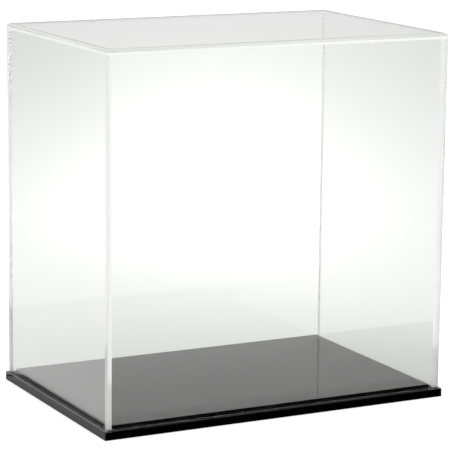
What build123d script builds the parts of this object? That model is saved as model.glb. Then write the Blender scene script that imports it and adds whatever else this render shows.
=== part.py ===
"""Football display case: a clear five-sided acrylic cover standing over a two-tier black base.

Units are millimetres.  +Z is up, +X runs along the width and the front faces -Y.
The origin is the centre of the base's underside, where the case stands on a shelf.
"""
import os

from build123d import *

# Driving dimensions
base_width = 304.8
base_depth = 203.2
base_thickness = 6.8
case_height = 301.0
ledge_side = 2.6
ledge_front = 1.8
wall = 4.8
riser_thickness = 3.2
riser_play_side = 2.0
riser_play_front = 1.0
seat_gap = 0.2

# Edge finishing: routed top edge, buffed corners and flame-polished arrises
top_roundover = 2.6
riser_edge_radius = 0.4
plate_edge_radius = 0.2
plate_corner_radius = 0.8
panel_arris = 0.3

# Sizes that follow
cover_width = base_width - 2 * ledge_side
cover_depth = base_depth - 2 * ledge_front
side_panel_depth = cover_depth - 2 * wall
inner_width = cover_width - 2 * wall
inner_depth = cover_depth - 2 * wall
riser_width = inner_width - 2 * riser_play_side
riser_depth = inner_depth - 2 * riser_play_front
cover_bottom = base_thickness + seat_gap
wall_top = case_height - wall
wall_height = wall_top - cover_bottom


def slab(width, depth, height, x=0.0, y=0.0, z=0.0):
    """A rectangular block centred on (x, y) whose underside lies at height z."""
    return Pos(x, y, z) * Box(width, depth, height, align=(Align.CENTER, Align.CENTER, Align.MIN))


def round_upright_corners(solid, radius):
    return fillet(solid.edges().filter_by(Axis.Z), radius)


def top_rim(solid):
    """The edges round the uppermost face."""
    return solid.faces().sort_by(Axis.Z)[-1].edges()


def bottom_rim(solid):
    """The edges round the lowest face."""
    return solid.faces().sort_by(Axis.Z)[0].edges()


def lower_base_plate():
    """Thick black plate that the whole case stands on, with a narrow ledge round the cover."""
    plate = round_upright_corners(slab(base_width, base_depth, base_thickness), plate_corner_radius)
    plate = fillet(top_rim(plate), plate_edge_radius)
    return fillet(bottom_rim(plate), plate_edge_radius)


def riser_plate():
    """Thinner black plate glued on top, which keeps the cover in place and carries the ball."""
    plate = slab(riser_width, riser_depth, riser_thickness, z=base_thickness)
    plate = round_upright_corners(plate, plate_corner_radius)
    return fillet(top_rim(plate), riser_edge_radius)


def face_panel(side):
    """Front (side=-1) or back (side=+1) wall, which covers the ends of the side walls."""
    y = side * (cover_depth - wall) / 2
    panel = slab(cover_width, wall, wall_height, y=y, z=cover_bottom)
    outer_face = panel.faces().sort_by(Axis.Y)[0 if side < 0 else -1]
    return chamfer(outer_face.edges().filter_by(Axis.Z), panel_arris)


def side_panel(side):
    """Left (side=-1) or right (side=+1) wall, held between the front and the back."""
    x = side * (cover_width - wall) / 2
    return slab(wall, side_panel_depth, wall_height, x=x, z=cover_bottom)


def top_panel():
    """Lid sheet glued on the four walls, with its upper edges routed to a quarter round."""
    panel = slab(cover_width, cover_depth, wall, z=wall_top)
    return fillet(top_rim(panel), top_roundover)


nodes = {
    "lower_base_plate": lower_base_plate(),
    "riser_plate": riser_plate(),
    "front_panel": face_panel(-1),
    "back_panel": face_panel(1),
    "left_panel": side_panel(-1),
    "right_panel": side_panel(1),
    "top_panel": top_panel(),
}

os.makedirs("parts", exist_ok=True)
for name, solid in nodes.items():
    export_step(solid, f"parts/{name}.step")
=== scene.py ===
"""Looks of the football display case: a clear acrylic cover over a gloss black base, in a white studio.

Metres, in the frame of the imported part: +Z up, the front faces -Y, the floor is at z = 0.
"""
import math

import bmesh
import bpy
from mathutils import Matrix, Vector


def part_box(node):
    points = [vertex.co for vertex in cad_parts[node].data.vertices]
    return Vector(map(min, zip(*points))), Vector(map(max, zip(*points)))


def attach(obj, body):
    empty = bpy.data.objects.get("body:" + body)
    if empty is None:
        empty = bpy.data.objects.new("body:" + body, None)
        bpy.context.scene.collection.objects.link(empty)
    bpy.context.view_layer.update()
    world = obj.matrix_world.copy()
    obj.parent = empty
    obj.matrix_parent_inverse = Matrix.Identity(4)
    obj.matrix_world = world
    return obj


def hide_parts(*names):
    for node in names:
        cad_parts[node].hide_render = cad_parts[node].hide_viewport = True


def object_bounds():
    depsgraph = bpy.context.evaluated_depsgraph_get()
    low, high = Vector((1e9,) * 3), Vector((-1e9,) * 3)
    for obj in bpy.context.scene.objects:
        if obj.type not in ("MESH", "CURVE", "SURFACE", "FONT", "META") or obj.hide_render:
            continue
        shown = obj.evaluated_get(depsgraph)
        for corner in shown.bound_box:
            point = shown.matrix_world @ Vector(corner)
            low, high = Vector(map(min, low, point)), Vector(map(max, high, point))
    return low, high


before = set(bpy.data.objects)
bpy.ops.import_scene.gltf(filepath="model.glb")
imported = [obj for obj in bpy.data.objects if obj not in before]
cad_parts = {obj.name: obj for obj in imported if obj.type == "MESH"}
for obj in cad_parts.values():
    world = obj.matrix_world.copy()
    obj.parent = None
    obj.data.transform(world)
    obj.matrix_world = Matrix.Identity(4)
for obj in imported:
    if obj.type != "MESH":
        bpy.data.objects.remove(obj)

cad_low, cad_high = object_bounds()
MM = 0.001

# Edge finishing of the acrylic sheets
glue_line = 0.03 * MM
top_roundover = 2.6 * MM
outer_arris = 0.3 * MM
plate_corner_radius = 0.8 * MM
plate_edge_radius = 0.2 * MM
riser_edge_radius = 0.4 * MM
roundover_steps = 12
arris_steps = 3

# Telling faces and edges apart
mostly = 0.5
flat_normal = 0.9999
same_height = 0.01 * MM
same_side = 1.0 * MM

# Clear acrylic: roughness of each finish, and the share of the light that it lets through
acrylic_ior = 1.49
plain_specular = 0.5
end_rough = 0.15
end_clear = 0.6
joint_rough = 0.0
joint_clear = 0.42
foot_rough = 0.6
# The sawn foot is made opaque, matt and dark grey: painted shade where the sheets stand on the black base.
foot_clear = 0.0
foot_specular = 0.0
foot_painted_shade_tint = (0.10, 0.10, 0.10, 1.0)
rim_rough = 0.1
rim_clear = 0.15
round_rough = 0.0
round_clear = 0.15
round_tint = (0.78, 0.80, 0.78, 1.0)
arris_rough = 0.1
arris_clear = 1.0
clear_tint = (0.990, 1.000, 0.986, 1.0)
pale_tint = (0.994, 1.000, 0.990, 1.0)
# The front and back sheets' rounded corners let light through a grey tint.
arris_grey_tint = (0.72, 0.74, 0.72, 1.0)
# Painted shade: a darker grey line on the lid's round where it meets the flat top.
top_line_painted_shade_tint = (0.42, 0.44, 0.42, 1.0)
top_line_painted_shade_start = 0.92
finish_variation = 0.2
wave_scale = 22.0
wave_detail = 2.0
wave_height = 0.002 * MM
patch_scale = 350.0

# Black acrylic
black_deep = (0.0004, 0.0004, 0.0004, 1.0)
black_worn = (0.0012, 0.0012, 0.0012, 1.0)
black_gloss = 0.02
black_haze = 0.035
haze_scale = 90.0
haze_detail = 6.0

# Camera: a long lens from the front left, a little above the case
camera_turn = math.radians(27.478)
camera_tilt = math.radians(11.153)
camera_roll = math.radians(0.627)
camera_distance = 1.9093
aim_right = 0.0030
aim_up = 0.1356
sensor_width = 36.0
lens_length = 182.94

# Studio: a stand-in for the real room. The camera sees a plain white floor, but the floor has
# another brightness when seen through the case, another when mirrored, and another for matt edges.
floor_radius = 14.0
floor_steps = 96
paper_white = 0.88
paper_lift = 0.3
floor_base = 0.66
pool_gain = 0.65
pool_distance = 0.93
pool_nearest = 0.05
pool_depth_spread = 0.95
pool_half_width = 0.30
right_light = 0.35
right_light_start = (0.22, 0.45)
right_light_end = (0.22, 0.40)
near_floor_light = 0.50
near_floor_reach = 0.03
dark_line_start = (0.0085, 0.0100)
dark_line_end = (0.0125, 0.0150)
open_floor_light = 1.2
open_floor_reach = 1.2
front_floor_light = 0.005
front_shade_edge = 0.7
front_patch_light = 1.0
front_patch_start = (0.08, 0.28)
front_patch_end = (0.32, 0.65)
foot_shade_start = 0.04
foot_shade_end = 0.06
horizon_light = 0.75
overhead_light = 1.1
fill_light = 1.15

# Light paths
clear_bounces = 256
matt_bounces = 16


# ---------------------------------------------------------------- meshes

def block(low, high):
    """A bmesh box between two corners."""
    bm = bmesh.new()
    size = high - low
    place = Matrix.Translation((low + high) / 2) @ Matrix.Diagonal((*size, 1.0))
    bmesh.ops.create_cube(bm, size=1.0, matrix=place)
    return bm


def rim_at(bm, height):
    """The edges that lie flat at a height."""
    return [e for e in bm.edges if all(abs(v.co.z - height) < same_height for v in e.verts)]


def upright(edge):
    a, b = (v.co for v in edge.verts)
    return abs(a.z - b.z) > mostly * (a - b).length


def round_edges(bm, edges, radius, steps):
    bmesh.ops.bevel(
        bm, geom=edges, offset=radius, offset_type="OFFSET", segments=steps, profile=0.5, affect="EDGES"
    )


def curved(face):
    return max(abs(c) for c in face.normal) < flat_normal


def as_piece(bm, name, body, node, materials, finish_of):
    """Turns a finished bmesh into a piece that stands for its CAD node.

    materials is a dict of finishes, and finish_of(face) names the finish that each face takes.
    """
    finishes = list(materials)
    for face in bm.faces:
        face.smooth = curved(face)
        face.material_index = finishes.index(finish_of(face))
    mesh = bpy.data.meshes.new(name)
    bm.to_mesh(mesh)
    bm.free()
    for material in materials.values():
        mesh.materials.append(material)
    piece = bpy.data.objects.new(name, mesh)
    bpy.context.scene.collection.objects.link(piece)
    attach(piece, body)
    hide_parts(node)


# ---------------------------------------------------------------- shader helpers

def plain_material(name):
    material = bpy.data.materials.new(name)
    material.use_nodes = True
    return material, material.node_tree


def connect(tree, socket, value):
    """Links a socket, or sets its value."""
    if isinstance(value, bpy.types.NodeSocket):
        tree.links.new(value, socket)
    else:
        socket.default_value = value


def new_node(tree, kind, **inputs):
    """A shader node whose named inputs are sockets to link or values to set."""
    node = tree.nodes.new("ShaderNode" + kind)
    for name, value in inputs.items():
        connect(tree, node.inputs[name], value)
    return node


def calculate(tree, operation, *values):
    """The output of a math node."""
    node = tree.nodes.new("ShaderNodeMath")
    node.operation = operation
    for socket, value in zip(node.inputs, values):
        connect(tree, socket, value)
    return node.outputs["Value"]


def squared(tree, value):
    return calculate(tree, "MULTIPLY", value, value)


def smooth_step(tree, value, start, end, first, last):
    """Goes smoothly from first to last while the value goes from start to end."""
    node = new_node(tree, "MapRange", Value=value)
    node.interpolation_type = "SMOOTHSTEP"
    for name, setting in (("From Min", start), ("From Max", end), ("To Min", first), ("To Max", last)):
        node.inputs[name].default_value = setting
    return node.outputs["Result"]


def within(tree, value, rising, falling):
    """Goes smoothly from 0 to 1 over the first span of the value, and back to 0 over the second."""
    rise = smooth_step(tree, value, *rising, 0.0, 1.0)
    return calculate(tree, "MULTIPLY", rise, smooth_step(tree, value, *falling, 1.0, 0.0))


def object_place(tree):
    return tree.nodes.new("ShaderNodeTexCoord").outputs["Object"]


def object_axes(tree, vector):
    split = new_node(tree, "SeparateXYZ", Vector=vector)
    return split.outputs["X"], split.outputs["Y"], split.outputs["Z"]


def noise(tree, scale, detail=wave_detail):
    return new_node(tree, "TexNoise", Vector=object_place(tree), Scale=scale, Detail=detail).outputs["Fac"]


def between(tree, factor, first, last):
    """A colour that goes from first to last."""
    node = new_node(tree, "ValToRGB", Fac=factor)
    node.color_ramp.elements[0].color = first
    node.color_ramp.elements[1].color = last
    return node.outputs["Color"]


def bumps(tree, height, depth):
    return new_node(tree, "Bump", Height=height, Distance=depth).outputs["Normal"]


# ---------------------------------------------------------------- acrylic

def clear_acrylic(name, roughness, clearness, tint=clear_tint, second_tint=pale_tint,
                  specular_level=plain_specular):
    """Cast acrylic: faintly green and wavy, with a finish that varies a little from spot to spot."""
    material, tree = plain_material(name)
    shader = tree.nodes["Principled BSDF"]
    shader.inputs["IOR"].default_value = acrylic_ior
    shader.inputs["Transmission Weight"].default_value = clearness
    shader.inputs["Specular IOR Level"].default_value = specular_level
    waves = noise(tree, wave_scale)
    patches = noise(tree, patch_scale)
    change = calculate(tree, "MULTIPLY_ADD", patches, finish_variation, 1.0 - finish_variation / 2)
    connect(tree, shader.inputs["Base Color"], between(tree, waves, tint, second_tint))
    connect(tree, shader.inputs["Roughness"], calculate(tree, "MULTIPLY", change, roughness))
    connect(tree, shader.inputs["Normal"], bumps(tree, waves, wave_height))
    return material


def routed_round():
    """The lid's quarter round, with a fine painted grey shade line where it meets the flat top."""
    material = clear_acrylic("routed_round", round_rough, round_clear)
    tree = material.node_tree
    normal = tree.nodes.new("ShaderNodeNewGeometry").outputs["Normal"]
    line = smooth_step(tree, object_axes(tree, normal)[2], top_line_painted_shade_start, 1.0, 0.0, 1.0)
    connect(tree, tree.nodes["Principled BSDF"].inputs["Base Color"],
            between(tree, line, round_tint, top_line_painted_shade_tint))
    return material


def clear_finishes():
    return {
        "face": clear_acrylic("sheet_face", 0.0, 1.0),
        "end": clear_acrylic("buffed_end", end_rough, end_clear),
        "joint": clear_acrylic("glued_joint", joint_rough, joint_clear),
        # The foot's dark grey tint is painted shade where the sheets stand on the base.
        "foot": clear_acrylic("sawn_foot_painted_shade", foot_rough, foot_clear, foot_painted_shade_tint, foot_painted_shade_tint, foot_specular),
        "rim": clear_acrylic("sawn_rim", rim_rough, rim_clear),
        "round": routed_round(),
        "arris": clear_acrylic("rubbed_arris", arris_rough, arris_clear, arris_grey_tint, arris_grey_tint),
    }


def black_acrylic():
    """Gloss black sheet with a faint haze of handling marks."""
    material, tree = plain_material("black_acrylic")
    shader = tree.nodes["Principled BSDF"]
    shader.inputs["IOR"].default_value = acrylic_ior
    haze = noise(tree, haze_scale, haze_detail)
    roughness = calculate(tree, "MULTIPLY_ADD", haze, black_haze - black_gloss, black_gloss)
    connect(tree, shader.inputs["Base Color"], between(tree, haze, black_deep, black_worn))
    connect(tree, shader.inputs["Roughness"], roughness)
    connect(tree, shader.inputs["Normal"], bumps(tree, noise(tree, wave_scale), wave_height))
    return material


# ---------------------------------------------------------------- the case

def front_or_back_finish(face):
    if curved(face):
        return "arris"
    return "end" if abs(face.normal.x) > mostly else broad_or_foot(face)


def side_finish(face):
    return "joint" if abs(face.normal.y) > mostly else broad_or_foot(face)


def broad_or_foot(face):
    return "foot" if face.normal.z < -mostly else "face"


def lid_finish(face):
    if curved(face):
        return "round"
    return "face" if abs(face.normal.z) > mostly else "rim"


def build_cover(finishes):
    """Five separate sheets, each with a hair of air at its glued edges."""
    for node in ("front_panel", "back_panel"):
        low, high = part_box(node)
        bm = block(low, high - Vector((0, 0, glue_line)))
        outer_y = low.y if node == "front_panel" else high.y
        corners = [e for e in bm.edges if upright(e) and abs(e.verts[0].co.y - outer_y) < same_side]
        round_edges(bm, corners, outer_arris, arris_steps)
        as_piece(bm, node + "_sheet", "cover", node, finishes, front_or_back_finish)
    for node in ("left_panel", "right_panel"):
        low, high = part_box(node)
        bm = block(low + Vector((0, glue_line, 0)), high - Vector((0, glue_line, glue_line)))
        as_piece(bm, node + "_sheet", "cover", node, finishes, side_finish)
    low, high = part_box("top_panel")
    bm = block(low, high)
    round_edges(bm, rim_at(bm, high.z), top_roundover, roundover_steps)
    as_piece(bm, "top_panel_sheet", "cover", "top_panel", finishes, lid_finish)


def black_plate(node, finishes, top_radius, bottom_radius=0.0):
    low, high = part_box(node)
    bm = block(low, high)
    round_edges(bm, [e for e in bm.edges if upright(e)], plate_corner_radius, arris_steps)
    round_edges(bm, rim_at(bm, high.z), top_radius, arris_steps)
    if bottom_radius:
        round_edges(bm, rim_at(bm, low.z), bottom_radius, arris_steps)
    as_piece(bm, node + "_gloss", "base", node, finishes, lambda face: "gloss")


def build_base(finishes):
    black_plate("lower_base_plate", finishes, plate_edge_radius, plate_edge_radius)
    black_plate("riser_plate", finishes, riser_edge_radius)


# ---------------------------------------------------------------- studio

def pool_of_light(tree):
    """Floor brightness as seen through the case: a soft pool behind it, and a lit floor to its right.

    Both are laid out along the photo camera's heading, and stay where they are in other views.
    """
    turned = new_node(tree, "Mapping", Vector=object_place(tree), Rotation=(0, 0, camera_turn))
    across, away, _ = object_axes(tree, turned.outputs["Vector"])
    behind = calculate(tree, "MAXIMUM", away, pool_nearest)
    depth = calculate(tree, "LOGARITHM", calculate(tree, "DIVIDE", behind, pool_distance), math.e)
    depth = calculate(tree, "DIVIDE", depth, pool_depth_spread)
    aside = calculate(tree, "DIVIDE", across, pool_half_width)
    reach = calculate(tree, "ADD", squared(tree, depth), squared(tree, aside))
    pool = calculate(tree, "DIVIDE", pool_gain, calculate(tree, "ADD", reach, 1.0))
    right = smooth_step(tree, across, *right_light_start, 0.0, right_light)
    right = calculate(tree, "MULTIPLY", right, smooth_step(tree, away, *right_light_end, 1.0, 0.0))
    return calculate(tree, "ADD", calculate(tree, "ADD", pool, right), floor_base)


def off_the_range(tree, value, low, high):
    """How far a coordinate lies beyond a range, with its sign."""
    nearest = calculate(tree, "MINIMUM", calculate(tree, "MAXIMUM", value, low), high)
    return calculate(tree, "SUBTRACT", value, nearest)


def length(tree, first, second):
    return calculate(tree, "SQRT", calculate(tree, "ADD", squared(tree, first), squared(tree, second)))


def round_the_case(tree):
    """A floor point's clearance from the case, and how far it lies to the front rather than beside."""
    x, y, _ = object_axes(tree, object_place(tree))
    beside = off_the_range(tree, x, cad_low.x, cad_high.x)
    clearance = length(tree, beside, off_the_range(tree, y, cad_low.y, cad_high.y))
    ahead = calculate(tree, "SUBTRACT", cad_low.y, y)
    return clearance, calculate(tree, "DIVIDE", ahead, length(tree, beside, ahead))


def light_off_the_floor(tree):
    """What gloss reflects: floor light with a painted shadow line round the case, and painted shade in front
    but for a patch.
    """
    clearance, frontness = round_the_case(tree)
    fade = squared(tree, calculate(tree, "DIVIDE", clearance, open_floor_reach))
    open_floor = smooth_step(tree, clearance, 0.0, near_floor_reach, near_floor_light, open_floor_light)
    open_floor = calculate(tree, "DIVIDE", open_floor, calculate(tree, "ADD", fade, 1.0))
    # Painted shadow: a dark ring on the floor round the case, seen only in reflections.
    dark_line = within(tree, clearance, dark_line_start, dark_line_end)
    open_floor = calculate(tree, "MULTIPLY", open_floor, calculate(tree, "SUBTRACT", 1.0, dark_line))
    shade = smooth_step(tree, frontness, 0.0, front_shade_edge, 1.0, front_floor_light)
    patch = within(tree, clearance, front_patch_start, front_patch_end)
    patch = calculate(tree, "MULTIPLY", patch, front_patch_light)
    return calculate(tree, "MAXIMUM", calculate(tree, "MULTIPLY", open_floor, shade), patch)


def foot_shade(tree, path):
    """The dark strip of floor just before the case, which the riser mirrors through the front sheet."""
    clearance, frontness = round_the_case(tree)
    near = smooth_step(tree, clearance, foot_shade_start, foot_shade_end, 1.0, 0.0)
    front = smooth_step(tree, frontness, 0.0, front_shade_edge, 0.0, 1.0)
    mirrored = calculate(tree, "MINIMUM", path.outputs["Glossy Depth"], 1.0)
    shade = calculate(tree, "MULTIPLY", calculate(tree, "MULTIPLY", near, front), mirrored)
    return calculate(tree, "SUBTRACT", 1.0, shade)


def with_fill(tree, path, strength):
    """Matt edges gather at least the studio's fill light, however dim the floor or the dome is."""
    matt = calculate(tree, "MINIMUM", path.outputs["Diffuse Depth"], 1.0)
    return calculate(tree, "MAXIMUM", strength, calculate(tree, "MULTIPLY", matt, fill_light))


def mixed(tree, factor, first, second):
    node = new_node(tree, "MixShader", Fac=factor)
    tree.links.new(first.outputs[0], node.inputs[1])
    tree.links.new(second.outputs[0], node.inputs[2])
    return node


def floor_paper():
    """White paper that is just over-exposed, with a lit pool that the clear sheets reveal."""
    material, tree = plain_material("floor_paper")
    tree.nodes.clear()
    path = tree.nodes.new("ShaderNodeLightPath")
    pool = calculate(tree, "MULTIPLY", pool_of_light(tree), foot_shade(tree, path))
    through = new_node(tree, "Emission", Strength=with_fill(tree, path, pool))
    in_gloss = new_node(tree, "Emission", Strength=with_fill(tree, path, light_off_the_floor(tree)))
    paper = new_node(tree, "BsdfDiffuse", Color=(paper_white, paper_white, paper_white, 1.0))
    lift = new_node(tree, "Emission", Strength=paper_lift)
    direct = tree.nodes.new("ShaderNodeAddShader")
    tree.links.new(paper.outputs[0], direct.inputs[0])
    tree.links.new(lift.outputs[0], direct.inputs[1])
    mirrored = calculate(tree, "SUBTRACT", path.outputs["Is Reflection Ray"], path.outputs["Is Diffuse Ray"])
    indirect = mixed(tree, mirrored, through, in_gloss)
    surface = mixed(tree, path.outputs["Is Camera Ray"], indirect, direct)
    output = tree.nodes.new("ShaderNodeOutputMaterial")
    tree.links.new(surface.outputs[0], output.inputs["Surface"])
    return material


def build_floor(material):
    bm = bmesh.new()
    bmesh.ops.create_circle(bm, cap_ends=True, segments=floor_steps, radius=floor_radius)
    mesh = bpy.data.meshes.new("studio_floor")
    bm.to_mesh(mesh)
    bm.free()
    mesh.materials.append(material)
    floor = bpy.data.objects.new("studio_floor", mesh)
    bpy.context.scene.collection.objects.link(floor)


def build_surroundings():
    """A soft white dome, brighter overhead than at the horizon, in front of a plain white backdrop."""
    world = bpy.data.worlds.new("studio_dome")
    bpy.context.scene.world = world
    world.use_nodes = True
    tree = world.node_tree
    direction = tree.nodes.new("ShaderNodeTexCoord").outputs["Generated"]
    height = calculate(tree, "MAXIMUM", object_axes(tree, direction)[2], 0.0)
    rise = overhead_light - horizon_light
    dome = calculate(tree, "MULTIPLY_ADD", squared(tree, height), rise, horizon_light)
    path = tree.nodes.new("ShaderNodeLightPath")
    strength = calculate(tree, "MAXIMUM", dome, path.outputs["Is Camera Ray"])
    backdrop = tree.nodes["Background"]
    connect(tree, backdrop.inputs["Strength"], with_fill(tree, path, strength))
    connect(tree, backdrop.inputs["Color"], (1.0, 1.0, 1.0, 1.0))


def build_camera():
    data = bpy.data.cameras.new("photo_camera")
    data.sensor_width = sensor_width
    data.lens = lens_length
    camera = bpy.data.objects.new("photo_camera", data)
    bpy.context.scene.collection.objects.link(camera)
    heading = Matrix.Rotation(-camera_turn, 4, "Z") @ Matrix.Rotation(math.pi / 2 - camera_tilt, 4, "X")
    heading = heading @ Matrix.Rotation(camera_roll, 4, "Z")
    camera.matrix_world = heading @ Matrix.Translation((aim_right, aim_up, camera_distance))
    bpy.context.scene.camera = camera


def set_light_paths():
    """Light runs a long way inside clear sheets, and plain white needs the plain sRGB view."""
    scene = bpy.context.scene
    scene.view_settings.view_transform = "Standard"
    scene.cycles.max_bounces = clear_bounces
    scene.cycles.transmission_bounces = clear_bounces
    scene.cycles.glossy_bounces = clear_bounces
    scene.cycles.diffuse_bounces = matt_bounces
    scene.cycles.blur_glossy = 0.0
    scene.cycles.denoising_input_passes = "RGB"


build_cover(clear_finishes())
build_base({"gloss": black_acrylic()})
build_floor(floor_paper())
build_surroundings()
build_camera()
set_light_paths()
